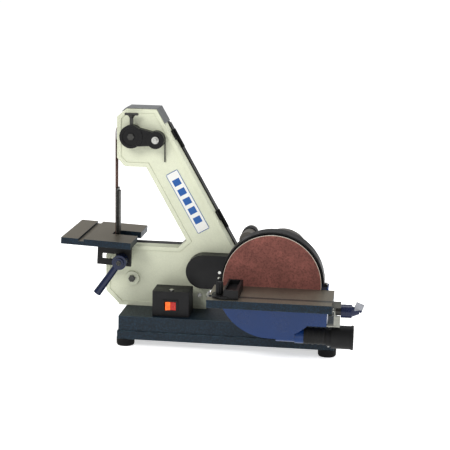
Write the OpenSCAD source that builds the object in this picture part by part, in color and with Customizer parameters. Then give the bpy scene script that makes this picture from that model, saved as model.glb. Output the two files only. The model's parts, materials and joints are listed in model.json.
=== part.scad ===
// Bench-top belt and disc sander.
// Millimetres. X runs along the front of the base to the right, Y to the back, Z up.
// The origin is the centre of the bench bolt pattern, on the underside of the base.

/* [Base] */
// Length of the base along the front
base_l = 466; // [420:1:560]
// Depth of the base
base_d = 200; // [180:1:240]
// Height of the base box
base_h = 51; // [40:1:70]
// Sheet thickness of the base
base_wall = 3; // [2:0.5:5]
// Width of the bench bolt pattern along X
bolt_span_x = 360; // [300:1:380]
// Depth of the bench bolt pattern along Y
bolt_span_y = 160; // [150:1:166]
// Radius of the bench bolt holes
bolt_hole_r = 4.25; // [3:0.25:5]
// Height of the rubber feet below the base
foot_h = 16; // [10:1:25]
// Radius of the rubber feet
foot_r = 19.5; // [15:0.5:22]

/* [Sanding belt] */
// Width of the sanding belt
belt_w = 25.4; // [20:0.1:31]
// Thickness of the sanding belt
belt_t = 1.2; // [0.8:0.1:2]
// Radius of the two idler wheels
idler_r = 40; // [34:0.5:41]
// Radius of the drive wheel
drive_r = 31; // [25:0.5:34]
// Height of the upper idler above the base
upper_idler_h = 382; // [360:1:386]
// Height of the lower idler above the base
lower_idler_h = 62.5; // [58:0.5:66]
// Height of the drive wheel above the base
drive_h = 92; // [88:1:96]

/* [Belt frame] */
// Depth of the cast belt frame
frame_depth = 34; // [32:1:40]
// Thickness of the frame's front wall
frame_wall = 5; // [4:0.5:7]
// Thickness of the frame's rim
rim_t = 4; // [3:0.5:6]
// Depth of the black rear cover
cover_depth = 26; // [20:1:34]
// Sheet thickness of the covers
sheet_t = 1.6; // [1:0.1:2.5]

/* [Belt table] */
// Size of the belt table along X
belt_table_l = 154; // [140:1:170]
// Size of the belt table along Y
belt_table_d = 194; // [170:1:210]
// Edge thickness of the belt table
belt_table_t = 14; // [12:0.5:17]
// Tilt that the belt table rests at, degrees
belt_table_tilt = 2.5; // [0:0.5:4]

/* [Sanding disc] */
// Radius of the sanding disc
disc_r = 101.6; // [90:0.1:104]
// Thickness of the disc plate
disc_t = 12; // [8:0.5:16]
// Height of the disc centre above the base
disc_h = 111; // [109:0.5:120]
// Free ring between the disc and its guard
guard_gap = 2.4; // [1.5:0.1:4]

/* [Disc table] */
// Length of the disc table along X
disc_table_l = 247; // [240:1:260]
// Depth of the disc table along Y
disc_table_d = 122; // [115:1:150]
// Edge thickness of the disc table
disc_table_t = 16; // [14:0.5:20]
// Drop of the table's top below the disc centre
disc_table_drop = 7; // [4:0.5:12]
// Width of the miter groove in both tables
groove_w = 12; // [10:0.5:14]
// Depth of the miter groove
groove_t = 9.5; // [6:0.5:10]

/* [Motor] */
// Radius of the motor shell
motor_r = 60; // [50:1:64]
// Length of the motor shell
motor_l = 76; // [60:1:80]
// Radius of the arbor shaft
shaft_r = 8; // [6:0.5:9]
// Radius of the capacitor can
capacitor_r = 16; // [12:0.5:18]
// Length of the capacitor
capacitor_l = 88; // [70:1:96]

/* [Fits] */
// Radial clearance of a running fit
run_gap = 0.05; // [0.02:0.01:0.1]
// Clearance between parts that pass each other
pass_gap = 0.4; // [0.3:0.05:1]

/* [Hidden] */
$fn = 64;
eps = 0.01;

// Front and back faces of the main groups along Y
base_y0 = -base_d / 2;
frame_y0 = -10;
frame_y1 = frame_y0 + frame_depth;
cover_y1 = frame_y1 + cover_depth;
wheel_w = belt_w + 1.6;
belt_mid_y = frame_y0 + frame_wall + 6.5 + wheel_w / 2;
belt_y0 = belt_mid_y - belt_w / 2;
belt_y1 = belt_mid_y + belt_w / 2;

// Belt wheels: [x, z, radius]
belt_face_x = -262;
idler_x = belt_face_x + belt_t + idler_r + run_gap;
upper_z = base_h + upper_idler_h;
lower_z = base_h + lower_idler_h;
drive_x = -50.6;
drive_z = base_h + drive_h;
WHEELS = [[idler_x, upper_z, idler_r], [idler_x, lower_z, idler_r], [drive_x, drive_z, drive_r]];
hub_r = 11;
bearing_r = 11;
idler_axle_r = 5;

// Arbor line through the disc, the spindle housing and the motor
disc_x = 106;
disc_z = base_h + disc_h;
disc_face_y = -188.5;
paper_t = 1.2;
disc_front_y = disc_face_y + paper_t;
disc_back_y = disc_front_y + disc_t;
guard_r0 = disc_r + guard_gap;
guard_wall = 3;
guard_r1 = guard_r0 + guard_wall;
guard_y0 = -182;
shroud_y0 = -208;
shroud_y1 = -146;
shroud_r1 = guard_r1 + 4;
shroud_right_x = 222;
split_z = disc_z - 4;
front_wall_top = disc_z - 50;
spindle_y1 = -47;
spindle_r = 24;

// Belt drive between the arbor and the drive shaft
cover_front_y = -42;
drive_belt_y0 = -34;
drive_belt_w = 12;
drive_belt_t = 3;
motor_pulley_r = 11.5;
driven_pulley_r = 25;
cover_left_x = -58.3;
cover_end_r = 37.3;
cover_z = drive_z;

// Motor along Y
motor_y0 = 4;
motor_y1 = motor_y0 + motor_l;
bell_l = 12;

// Disc table and its tilt axis, which lies on the top edge beside the disc
table_z = disc_z - disc_table_drop;
table_gap = 2;
tilt_y = disc_face_y - table_gap;
table_y0 = tilt_y - disc_table_d;
table_x0 = disc_x + 5.5 - disc_table_l / 2;
table_x1 = table_x0 + disc_table_l;
groove_y = -280;
clamp_r = 4;
lock_y = tilt_y - 9.5;
lock_z = table_z - 39.3;
lock_radius = norm([tilt_y - lock_y, table_z - lock_z]);
lock_angle = 256.4;
tilt_travel = 45;
trunnion_x0 = shroud_right_x + 3;
trunnion_t = 8;
left_trunnion_x0 = table_x0 + 0.5;

// Belt table and its clamp bolt
clamp_x = -237;
clamp_z = base_h + 112;
belt_table_z = base_h + 158;
belt_table_x0 = -366;
belt_table_mid_y = belt_mid_y;
bracket_y0 = -50;
bracket_t = 8;
slot_half = 20.5;
slide_travel = 25;

// Outline of the cast frame's front, counter-clockwise from the lower right
FRAME = [
    [-54, base_h], [-54, base_h + 38], [-18, base_h + 58], [5.5, base_h + 100],
    [5.5, base_h + 137], [-168.7, base_h + 440.6], [-235, base_h + 440.6],
    [-256, base_h + 422], [-256, base_h + 332], [-238, base_h + 313.5],
    [-191, base_h + 313.5], [-99.8, base_h + 153.5], [-118, base_h + 136.5],
    [-256, base_h + 136.5], [-280, base_h + 114], [-280, base_h + 32],
    [-251, base_h + 3], [-251, base_h]
];

function unit(v) = v / norm(v);
function left_of(v) = [-v[1], v[0]];
function corner_shift(n1, n2, d) = (n1 + n2) * d / (1 + n1 * n2);
function inset(p, d) = [
    for (i = [0 : len(p) - 1])
        let (
            before = p[(i + len(p) - 1) % len(p)],
            after = p[(i + 1) % len(p)],
            n1 = left_of(unit(p[i] - before)),
            n2 = left_of(unit(after - p[i]))
        )
        p[i] + corner_shift(n1, n2, d)
];

// A cylinder along Y between y0 and y1
module rod_y(r, x, z, y0, y1) {
    translate([x, y1, z])
        rotate([90, 0, 0])
            cylinder(r = r, h = y1 - y0);
}

// A cylinder along X between x0 and x1
module rod_x(r, y, z, x0, x1) {
    translate([x0, y, z])
        rotate([0, 90, 0])
            cylinder(r = r, h = x1 - x0);
}

// A ring along Y
module ring_y(r1, r0, x, z, y0, y1) {
    difference() {
        rod_y(r1, x, z, y0, y1);
        rod_y(r0, x, z, y0 - 1, y1 + 1);
    }
}

// An outline in X and Z, thick along Y
module slab_y(points, y0, y1) {
    translate([0, y1, 0])
        rotate([90, 0, 0])
            linear_extrude(y1 - y0)
                polygon(points);
}

// A box from its lowest to its highest corner
module box(a, b) {
    translate(a)
        cube(b - a);
}

// A round-headed screw along -Y, with its head's underside at y
module screw_front(x, z, y, head_r, shank_l) {
    rod_y(head_r, x, z, y - head_r * 0.6, y);
    rod_y(head_r * 0.5, x, z, y - eps, y + shank_l - eps);
}

// A loop around wheels in the XZ plane, from inner to outer growth
module loop_band(wheels, inner, outer, y0, y1) {
    translate([0, y1, 0])
        rotate([90, 0, 0])
            linear_extrude(y1 - y0)
                difference() {
                    hull()
                        for (w = wheels)
                            translate([w[0], w[1]])
                                circle(r = w[2] + outer, $fn = 96);
                    hull()
                        for (w = wheels)
                            translate([w[0], w[1]])
                                circle(r = w[2] + inner, $fn = 96);
                }
}

// ---------------------------------------------------------------- base group

band_h = 18;
band_t = 2.5;
lug_r = 15;
foot_x = base_l / 2 - 13;
foot_y = base_d / 2 - 15;
flange_w = 26;
foot_screw_r = 3;

module base() {
    color("#22343f")
    difference() {
        union() {
            difference() {
                union() {
                    box([-base_l / 2, base_y0, 0], [base_l / 2, -base_y0, base_h]);
                    box([-base_l / 2 - band_t, base_y0 - band_t, 0], [base_l / 2 + band_t, -base_y0 + band_t, band_h]);
                }
                box([-base_l / 2 + base_wall, base_y0 + base_wall, base_wall],
                    [base_l / 2 - base_wall, -base_y0 - base_wall, base_h - base_wall]);
                box([-base_l / 2 + flange_w, base_y0 + flange_w, -1],
                    [base_l / 2 - flange_w, -base_y0 - flange_w, base_wall + 1]);
                for (sx = [-1, 1], sy = [-1, 1])
                    translate([sx * foot_x, sy * foot_y, -1])
                        cylinder(r = lug_r, h = band_h + 1);
            }
            for (sx = [-1, 1], sy = [-1, 1])
                translate([sx * foot_x, sy * foot_y, 0])
                    cylinder(r = lug_r + 1, h = base_wall);
        }
        for (sx = [-1, 1], sy = [-1, 1]) {
            translate([sx * foot_x, sy * foot_y, -1])
                cylinder(r = foot_screw_r + 0.2, h = base_h);
            translate([sx * bolt_span_x / 2, sy * bolt_span_y / 2, -1])
                cylinder(r = bolt_hole_r, h = base_wall + 2);
        }
    }
}

module rubber_feet() {
    color("#1d1e20")
    for (sx = [-1, 1], sy = [-1, 1])
        translate([sx * foot_x, sy * foot_y, -foot_h])
            difference() {
                union() {
                    cylinder(r1 = foot_r - 1.5, r2 = foot_r, h = 3);
                    translate([0, 0, 3 - eps])
                        cylinder(r = foot_r, h = foot_h - 3 + eps);
                }
                translate([0, 0, 4])
                    cylinder(r = foot_screw_r, h = foot_h);
            }
}

module foot_screws() {
    color("silver")
    for (sx = [-1, 1], sy = [-1, 1])
        translate([sx * foot_x, sy * foot_y, 0]) {
            translate([0, 0, -foot_h + 5])
                cylinder(r = foot_screw_r, h = foot_h - 5 + base_wall + eps);
            translate([0, 0, base_wall])
                cylinder(r = 9, h = 1.5);
            translate([0, 0, base_wall + 1.5 - eps])
                cylinder(r = 6, h = 4.5, $fn = 6);
        }
}

// ---------------------------------------------------------------- belt frame

panel_inset = 9;
panel_drop = 1.5;
panel_y = frame_y0 + panel_drop;
pivot_x = -167;
pivot_z = base_h + 376.5;
arm_y0 = -34;
arm_y1 = -13;
pivot_r = 5;
arm_window_r = 17;
boss_r = 16;
foot_corner_x = -69;
foot_corner_z = base_h + 31.5;
post_r = 11;
wall_y = frame_y0 + frame_wall;

module belt_frame() {
    color("#dcdcc6")
    difference() {
        union() {
            difference() {
                slab_y(FRAME, frame_y0, frame_y1);
                slab_y(inset(FRAME, rim_t), wall_y, frame_y1 + 1);
                slab_y(inset(FRAME, panel_inset), frame_y0 - 1, panel_y);
                // open left side beside the upper idler and over the lower nose
                box([-270, wall_y, lower_z + 30], [-232, frame_y1 + 1, upper_z + 44]);
            }
            // boss of the lower idler axle
            rod_y(boss_r, idler_x, lower_z, frame_y0 - 3, wall_y + eps);
            // boss of the arm pivot
            rod_y(boss_r, pivot_x, pivot_z, frame_y0 - 2.9, wall_y + eps);
            // post that carries the belt table
            rod_y(post_r, clamp_x, clamp_z, bracket_y0 + bracket_t + pass_gap, wall_y - 1);
            // bearing hub of the drive shaft
            rod_y(15, drive_x, drive_z, frame_y0, wall_y + 6);
        }
        rod_y(idler_axle_r, idler_x, lower_z, frame_y0 - 4, wall_y + 1);
        rod_y(pivot_r, pivot_x, pivot_z, frame_y0 - 4, wall_y + 1);
        rod_y(clamp_r - run_gap, clamp_x, clamp_z, bracket_y0, -12);
        rod_y(bearing_r, drive_x, drive_z, frame_y0 - 1, wall_y + 7);
        rod_y(arm_window_r, idler_x, upper_z, frame_y0 - 1, wall_y + 1);
        rod_y(2.25, foot_corner_x, foot_corner_z, frame_y0 - 1, panel_y + 3);
    }
}

guard_lift = 1;
guard_t = 1.2;
guard_tail = 36;
guard_nose = 12;

// A point on the way from a to b, at distance d from a
function along(a, b, d) = a + unit(b - a) * d;

module top_guard() {
    inner = inset(FRAME, -guard_lift);
    outer = inset(FRAME, -guard_lift - guard_t);
    color("#8d8f92")
    union() {
        slab_y([
            along(outer[5], outer[4], guard_tail), outer[5], outer[6], along(outer[6], outer[7], guard_nose),
            along(inner[6], inner[7], guard_nose), inner[6], inner[5], along(inner[5], inner[4], guard_tail)
        ], frame_y0, cover_y1);
        for (x = [-226, -187])
            box([x, frame_y0 + 4, base_h + 440.6], [x + 10, frame_y0 + 16, base_h + 440.8 + guard_lift]);
    }
}

label_l = 147;
label_w = 29;
label_t = 1;
label_x = -98.5;
label_z = base_h + 240.4;
label_angle = -60;

module label_plate() {
    color("white")
    translate([label_x, panel_y, label_z])
        rotate([0, -label_angle, 0])
            translate([0, 0, 0])
                rotate([90, 0, 0])
                    linear_extrude(label_t)
                        union() {
                            square([label_l - 6, label_w], center = true);
                            square([label_l, label_w - 6], center = true);
                            for (sx = [-1, 1], sy = [-1, 1])
                                translate([sx * (label_l / 2 - 3), sy * (label_w / 2 - 3)])
                                    circle(r = 3);
                        }
}

platen_x = belt_face_x + belt_t + 0.35;
platen_z0 = lower_z + 44;
platen_z1 = base_h + 261;
platen_t = 3;

module platen() {
    color("#5c5e60")
    box([platen_x, belt_y0 - 1, platen_z0], [platen_x + platen_t, belt_y1 + 1, platen_z1]);
}

bracket_x0 = platen_x + platen_t;

module platen_bracket() {
    color("#8a8c8c")
    union() {
        box([bracket_x0, belt_y0 + 4, platen_z0], [bracket_x0 + 4, belt_y1 - 4, platen_z1 - 6]);
        box([bracket_x0, wall_y, platen_z0], [bracket_x0 + 26, belt_y1 - 4, platen_z0 + 5]);
        box([bracket_x0 + 8, wall_y, platen_z0], [bracket_x0 + 26, wall_y + 3, platen_z0 + 24]);
    }
}

module abrasive_belt() {
    color("#8f5f52")
    loop_band(WHEELS, run_gap, run_gap + belt_t, belt_y0, belt_y1);
}

module arm_pivot_bolt() {
    color("#c9c9c4")
    union() {
        rod_y(pivot_r, pivot_x, pivot_z, arm_y0 - 0.5, wall_y);
        rod_y(8, pivot_x, pivot_z, arm_y0 - 2.5, arm_y0 - pass_gap);
        translate([pivot_x, arm_y0 - 2.5 + eps, pivot_z])
            rotate([90, 0, 0])
                cylinder(r = 5, h = 4.5, $fn = 6);
    }
}

spring_wire_r = 1.4;
spring_y = frame_y0 - 1.45;
spring_coil_r = boss_r + 1.6;
leg_x = pivot_x + spring_coil_r;

module tension_spring() {
    color("#2a2a28")
    union() {
        translate([pivot_x, spring_y, pivot_z])
            rotate([90, 0, 0])
                rotate_extrude()
                    translate([spring_coil_r, 0])
                        circle(r = spring_wire_r, $fn = 24);
        rod_z(spring_wire_r, leg_x, spring_y, pivot_z - 50, pivot_z);
    }
}

// A cylinder along Z
module rod_z(r, x, y, z0, z1) {
    translate([x, y, z0])
        cylinder(r = r, h = z1 - z0);
}

module lower_axle() {
    color("#4a4b4a")
    union() {
        rod_y(idler_axle_r, idler_x, lower_z, frame_y0 - 3 - eps, belt_y1 + 6);
        translate([idler_x, frame_y0 - 3, lower_z])
            rotate([90, 0, 0])
                cylinder(r = 7.5, h = 5, $fn = 6);
        rod_y(8, idler_x, lower_z, belt_y1 + 3, belt_y1 + 6);
    }
}

// Bolts that the two tables are clamped with
module clamp_bolts() {
    color("#3c3e40")
    rod_y(clamp_r - run_gap, clamp_x, clamp_z, -79, -12 - eps);
    color("#3c3e40")
    rod_x(clamp_r - run_gap, lock_y, lock_z, shroud_right_x - 9, trunnion_x0 + 44);
}

// ---------------------------------------------------------------- belt drive

pulley_wall = 2;
cover_right_x = disc_x + 4;

module cover_outline(grow) {
    union() {
        translate([cover_left_x, cover_z])
            circle(r = cover_end_r + grow);
        translate([cover_right_x, cover_z])
            circle(r = cover_end_r + grow);
        translate([cover_left_x, cover_z - cover_end_r - grow])
            square([cover_right_x - cover_left_x, 2 * (cover_end_r + grow)]);
    }
}

module pulley_cover() {
    color("#38393a")
    difference() {
        translate([0, frame_y0, 0])
            rotate([90, 0, 0])
                linear_extrude(frame_y0 - cover_front_y)
                    cover_outline(0);
        translate([0, frame_y0 + 1, 0])
            rotate([90, 0, 0])
                linear_extrude(frame_y0 - cover_front_y - pulley_wall + 1)
                    cover_outline(-pulley_wall);
        rod_y(shaft_r + 3, disc_x, disc_z, cover_front_y - 1, frame_y0);
        rod_y(1.7, cover_left_x + 37.4, drive_z + 1, cover_front_y - 1, cover_front_y + 1.9);
    }
}

module drive_belt() {
    color("#222222")
    loop_band([[disc_x, disc_z, motor_pulley_r], [drive_x, drive_z, driven_pulley_r]],
        0.15, drive_belt_t, drive_belt_y0, drive_belt_y0 + drive_belt_w);
}

module pulley(r, bore, x, z) {
    difference() {
        union() {
            rod_y(r, x, z, drive_belt_y0 - 1, drive_belt_y0 + drive_belt_w + 1);
            rod_y(r + 3, x, z, drive_belt_y0 - 2.5, drive_belt_y0 - 0.5);
            rod_y(r + 3, x, z, drive_belt_y0 + drive_belt_w + 0.5, drive_belt_y0 + drive_belt_w + 2.5);
        }
        rod_y(bore, x, z, drive_belt_y0 - 4, drive_belt_y0 + drive_belt_w + 4);
    }
}

drive_shaft_r = 6;

module driven_pulley() {
    color("#9a9c9e")
    pulley(driven_pulley_r, drive_shaft_r, drive_x, drive_z);
}

module motor_pulley() {
    color("#9a9c9e")
    pulley(motor_pulley_r, shaft_r, disc_x, disc_z);
}

module drive_shaft() {
    color("#a5a7a8")
    rod_y(drive_shaft_r, drive_x, drive_z, drive_belt_y0 - 4, belt_y1 + 4);
}

module belt_wheel(x, z, r, bore) {
    difference() {
        rod_y(r, x, z, belt_mid_y - wheel_w / 2, belt_mid_y + wheel_w / 2);
        ring_y(r - 6, hub_r + 5, x, z, belt_mid_y - wheel_w / 2 - 1, belt_mid_y - 3);
        ring_y(r - 6, hub_r + 5, x, z, belt_mid_y + 3, belt_mid_y + wheel_w / 2 + 1);
        rod_y(bore, x, z, belt_mid_y - wheel_w, belt_mid_y + wheel_w);
    }
}

module drive_wheel() {
    color("#3a3a3a")
    belt_wheel(drive_x, drive_z, drive_r, drive_shaft_r);
}

module upper_idler_wheel() {
    color("#b9bbbd")
    belt_wheel(idler_x, upper_z, idler_r, bearing_r);
}

module lower_idler_wheel() {
    color("#b9bbbd")
    belt_wheel(idler_x, lower_z, idler_r, bearing_r);
}

module idler_bearings(z) {
    color("#c4c6c8")
    for (y = [belt_mid_y - wheel_w / 2, belt_mid_y + wheel_w / 2 - 7])
        ring_y(bearing_r, idler_axle_r + run_gap, idler_x, z, y, y + 7);
}

module upper_idler_bearings() {
    idler_bearings(upper_z);
}

module lower_idler_bearings() {
    idler_bearings(lower_z);
}

// ---------------------------------------------------------------- tension arm

arm_hub_r = 25;
track_y = -25.5;
arm_boss_r = 19;

module tension_arm() {
    color("#2f3032")
    difference() {
        union() {
            rod_y(arm_hub_r, idler_x, upper_z, arm_y0, arm_y1);
            rod_y(arm_boss_r, pivot_x, pivot_z, arm_y0, arm_y1);
            slab_y([
                [idler_x + 8, upper_z - 21], [pivot_x - 6, pivot_z - 13],
                [pivot_x - 4, pivot_z + 16], [idler_x + 14, upper_z + 19]
            ], arm_y0 + 2, arm_y1);
        }
        rod_y(pivot_r + run_gap, pivot_x, pivot_z, arm_y0 - 1, arm_y1 + 1);
        rod_y(idler_axle_r, idler_x, upper_z, arm_y0 - 1, arm_y1 + 1);
        rod_y(arm_hub_r - 6, idler_x, upper_z, arm_y0 - 1, arm_y0 + 2);
        // hole of the tracking screw
        rod_z(4 + run_gap, idler_x, track_y, upper_z + 15, upper_z + 30);
    }
}

module upper_axle() {
    color("#a5a7a8")
    union() {
        rod_y(idler_axle_r, idler_x, upper_z, arm_y0 + 1, belt_y1 + 6);
        rod_y(8, idler_x, upper_z, belt_y1 + 3, belt_y1 + 6);
        translate([idler_x, arm_y0 + 2, upper_z])
            rotate([90, 0, 0])
                cylinder(r = 8, h = 3, $fn = 6);
    }
}

module tracking_screw() {
    color("#4a4b45")
    union() {
        rod_z(4, idler_x, track_y, upper_z + 16, upper_z + 47);
        translate([idler_x, track_y, upper_z + 40])
            cylinder(r1 = 4, r2 = 8, h = 6);
        box([idler_x - 14.5, track_y - 3, upper_z + 46 - eps], [idler_x + 14.5, track_y + 3, upper_z + 51]);
    }
}

// ---------------------------------------------------------------- rear cover

// The rear cover stands out beyond the frame along the slanted edge
cover_lip = 2.4;
latch_out = 6;
latch_barrel_r = 3;
latch_half_l = 22;
LATCH_S = [56, 258];
edge_dir = unit(FRAME[4] - FRAME[5]);
edge_out = left_of(edge_dir);

// A point beside the slanted edge, s along it from the top and out beyond it
function beside(s, out) = FRAME[5] + edge_dir * s + edge_out * out;
COVER = [
    FRAME[0], FRAME[1], FRAME[2], FRAME[3] + [cover_lip, 0], FRAME[4] + edge_out * cover_lip,
    beside(40, cover_lip), beside(39, 0.2),
    for (i = [5 : len(FRAME) - 1])
        FRAME[i]
];

module rear_cover() {
    color("#232426")
    difference() {
        slab_y(COVER, frame_y1 + 0.2, cover_y1);
        slab_y(inset(COVER, sheet_t), frame_y1 - 1, cover_y1 - sheet_t);
        box([-290, frame_y1 - 1, lower_z + 30], [-232, cover_y1 - sheet_t, upper_z + 44]);
    }
}

// A latch leaf and its rounded end, from s along the edge
module latch_leaf(s, out0, y0, y1) {
    union() {
        slab_y([
            beside(s, out0), beside(s + latch_half_l, out0),
            beside(s + latch_half_l, out0 + 3), beside(s, out0 + 3)
        ], y0, y1);
        barrel(s, latch_barrel_r, latch_half_l);
    }
}

// A rod along the slanted edge
module barrel(s, r, l) {
    p = beside(s, latch_out);
    translate([p[0], frame_y1, p[1]])
        rotate([0, atan2(edge_dir[0], edge_dir[1]), 0])
            cylinder(r = r, h = l);
}

module frame_latches() {
    color("#2c2d2e")
    for (s = LATCH_S)
        union() {
            latch_leaf(s, 1, frame_y1 - 14, frame_y1 - 0.5);
            slab_y([
                beside(s, 0), beside(s + latch_half_l, 0),
                beside(s + latch_half_l, 1.1), beside(s, 1.1)
            ], frame_y1 - 14, frame_y1 - 3);
        }
}

module cover_catches() {
    color("#2c2d2e")
    for (s = LATCH_S)
        latch_leaf(s + latch_half_l + 0.4, cover_lip, frame_y1 + 0.5, frame_y1 + 16);
}

// ---------------------------------------------------------------- belt table

// Places a child that is tilted about the clamp bolt, as the table rests
module at_belt_tilt() {
    translate([clamp_x, 0, clamp_z])
        rotate([0, belt_table_tilt, 0])
            translate([-clamp_x, 0, -clamp_z])
                children();
}

table_top_z = belt_table_z + 0.8;
table_low_z = table_top_z - belt_table_t;
table_skin = 7;
belt_groove_x = -322;

module belt_table() {
    color("#9a988c")
    at_belt_tilt()
    difference() {
        box([belt_table_x0, belt_table_mid_y - belt_table_d / 2, table_low_z],
            [belt_table_x0 + belt_table_l, belt_table_mid_y + belt_table_d / 2, table_top_z]);
        // slot that the belt runs through
        box([belt_face_x - 7, belt_table_mid_y - slot_half, table_low_z - 1],
            [belt_table_x0 + belt_table_l + 1, belt_table_mid_y + slot_half, table_top_z + 1]);
        // miter groove
        box([belt_groove_x - groove_w / 2, -400, table_top_z - 5], [belt_groove_x + groove_w / 2, 400, table_top_z + 1]);
        // hollow underside
        for (y = [[-76, -26], [56, 104]])
            box([belt_table_x0 + 6, y[0], table_low_z - 1], [belt_table_x0 + belt_table_l - 6, y[1], table_top_z - table_skin - 2]);
        box([belt_table_x0 + 6, -20, table_low_z - 1], [belt_face_x - 14, 50, table_top_z - table_skin - 2]);
    }
}

window_z = clamp_z + 6;

module belt_table_bracket() {
    color("#26272a")
    at_belt_tilt()
    difference() {
        union() {
            box([-291, bracket_y0, clamp_z - 13], [-216, bracket_y0 + bracket_t, table_low_z - run_gap]);
            box([-291, bracket_y0, table_low_z - 5], [-216, bracket_y0 + 22, table_low_z - run_gap]);
        }
        box([-281, bracket_y0 - 1, window_z - 6.5], [-250, bracket_y0 + 9, window_z + 6.5]);
        rod_y(clamp_r + run_gap, clamp_x, clamp_z, bracket_y0 - 1, bracket_y0 + 9);
    }
}

lever_hub_r = 16;

module belt_table_lever() {
    color("#1c2c4a")
    difference() {
        union() {
            rod_y(lever_hub_r, clamp_x, clamp_z, -76, bracket_y0 - pass_gap);
            rod_y(10, clamp_x, clamp_z, -80, -75);
            translate([clamp_x, -68, clamp_z])
                rotate([0, -145, 0])
                    translate([0, 0, 6])
                        cylinder(r1 = 7.2, r2 = 8.6, h = 82);
        }
        rod_y(clamp_r, clamp_x, clamp_z, -79.5, bracket_y0 + 1);
    }
}

// ---------------------------------------------------------------- motor group

module arbor_shaft() {
    color("#a5a7a8")
    rod_y(shaft_r, disc_x, disc_z, disc_front_y + 3, motor_y1 + 9);
}

bearing_seat_r = 17;

module shaft_bearings() {
    color("#c4c6c8") {
        for (y = [-142, spindle_y1 - 12, motor_y0 - bell_l + 2, motor_y1 + 1])
            ring_y(bearing_seat_r, shaft_r + run_gap, disc_x, disc_z, y, y + 10);
        ring_y(bearing_r, drive_shaft_r + run_gap, drive_x, drive_z, frame_y0 - 0.5, wall_y + 5);
    }
}

module spindle_housing() {
    color("#2b2c2e")
    difference() {
        union() {
            rod_y(spindle_r, disc_x, disc_z, shroud_y1 + 0.01, spindle_y1);
            rod_y(38, disc_x, disc_z, shroud_y1 + 0.01, shroud_y1 + 6);
            box([disc_x - 8, -100, base_h + 6], [disc_x + 8, spindle_y1, disc_z - spindle_r + 4]);
            box([disc_x - 36, base_y0, base_h], [disc_x + 36, spindle_y1, base_h + 8]);
            box([disc_x - 36, -76, base_h + 6], [disc_x + 36, -66, base_h + 40]);
        }
        rod_y(bearing_seat_r, disc_x, disc_z, shroud_y1 + 4, shroud_y1 + 14.01);
        rod_y(bearing_seat_r, disc_x, disc_z, spindle_y1 - 12, spindle_y1 - 2);
        rod_y(shaft_r + 2, disc_x, disc_z, shroud_y1 - 1, spindle_y1 + 1);
    }
}

module motor_shell() {
    color("#3c3e41")
    ring_y(motor_r, motor_r - 3, disc_x, disc_z, motor_y0, motor_y1);
}

module motor_bell(y0, y1, seat_y0, seat_y1) {
    difference() {
        rod_y(motor_r - 1.5, disc_x, disc_z, y0, y1);
        rod_y(bearing_seat_r, disc_x, disc_z, seat_y0, seat_y1);
        rod_y(shaft_r + 1, disc_x, disc_z, y0 - 1, y1 + 1);
    }
}

module motor_bells() {
    color("#2e3033") {
        motor_bell(motor_y0 - bell_l + 0.5, motor_y0, motor_y0 - bell_l + 2, motor_y0 + 1);
        difference() {
            motor_bell(motor_y1, motor_y1 + bell_l, motor_y1 - 1, motor_y1 + 11);
            rod_y(shaft_r + 1, disc_x, disc_z, motor_y1 + 5, motor_y1 + bell_l - 2);
        }
    }
}

module stator_core() {
    color("#6a6c6e")
    ring_y(motor_r - 3, 31, disc_x, disc_z, motor_y0 + 14, motor_y1 - 14);
}

module rotor() {
    color("#8a8c8e")
    ring_y(30, shaft_r, disc_x, disc_z, motor_y0 + 14, motor_y1 - 14);
}

module motor_mounts() {
    motor_cradle();
    capacitor_clamp();
}

module motor_cradle() {
    color("#2b2c2e")
    difference() {
        union() {
            box([disc_x - 55, motor_y0 + 8, base_h], [disc_x + 55, motor_y1 - 8, base_h + 5]);
            for (y = [motor_y0 + 10, motor_y1 - 16])
                box([disc_x - 45, y, base_h + 5 - eps], [disc_x + 45, y + 6, disc_z - 30]);
        }
        rod_y(motor_r, disc_x, disc_z, 0, 100);
    }
}

cap_x = 37;
cap_z = base_h + 166;
cap_y0 = -32;

module capacitor() {
    color("#4a4c4e")
    union() {
        rod_y(capacitor_r, cap_x, cap_z, cap_y0 + 10, cap_y0 + capacitor_l - 4);
        rod_y(capacitor_r + 1.5, cap_x, cap_z, cap_y0, cap_y0 + 10);
        rod_y(capacitor_r - 2, cap_x, cap_z, cap_y0 + capacitor_l - 4, cap_y0 + capacitor_l);
    }
}

module capacitor_clamp() {
    color("#2b2c2e")
    difference() {
        union() {
            ring_y(capacitor_r + 2, capacitor_r, cap_x, cap_z, 14, 34);
            translate([cap_x, 14, cap_z])
                rotate([0, 38.6, 0])
                    translate([capacitor_r + 0.5, 0, -7])
                        cube([13, 20, 14]);
        }
        rod_y(motor_r, disc_x, disc_z, 0, 100);
    }
}

// ---------------------------------------------------------------- disc group

module disc_plate() {
    color("#b4b6b8")
    difference() {
        union() {
            rod_y(disc_r, disc_x, disc_z, disc_front_y, disc_back_y);
            rod_y(22, disc_x, disc_z, disc_back_y - eps, disc_back_y + 18);
        }
        ring_y(disc_r - 8, 30, disc_x, disc_z, disc_back_y - 5, disc_back_y + 1);
        rod_y(shaft_r, disc_x, disc_z, disc_front_y + 3, disc_back_y + 19);
    }
}

module abrasive_disc() {
    color("#7c4c46")
    rod_y(disc_r, disc_x, disc_z, disc_face_y, disc_front_y);
}

module disc_guard() {
    color("#1b1b1c")
    union() {
        difference() {
            rod_y(guard_r1, disc_x, disc_z, guard_y0, shroud_y1);
            rod_y(guard_r0, disc_x, disc_z, guard_y0 - 1, shroud_y1 - 3);
            rod_y(30, disc_x, disc_z, shroud_y1 - 5, shroud_y1 + 1);
            box([-50, -300, 0], [300, 0, split_z + 0.2]);
        }
        for (x = [disc_x - guard_r1 - 7, disc_x + guard_r1 - 1])
            box([x, guard_y0 + 4, split_z + 0.2], [x + 8, guard_y0 + 16, split_z + 5]);
    }
}

outlet_y = -188;
outlet_z = base_h + 5.5;
outlet_r = 15;
collar_x = 157;
outlet_x = 180;
collar_l = 18;

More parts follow.
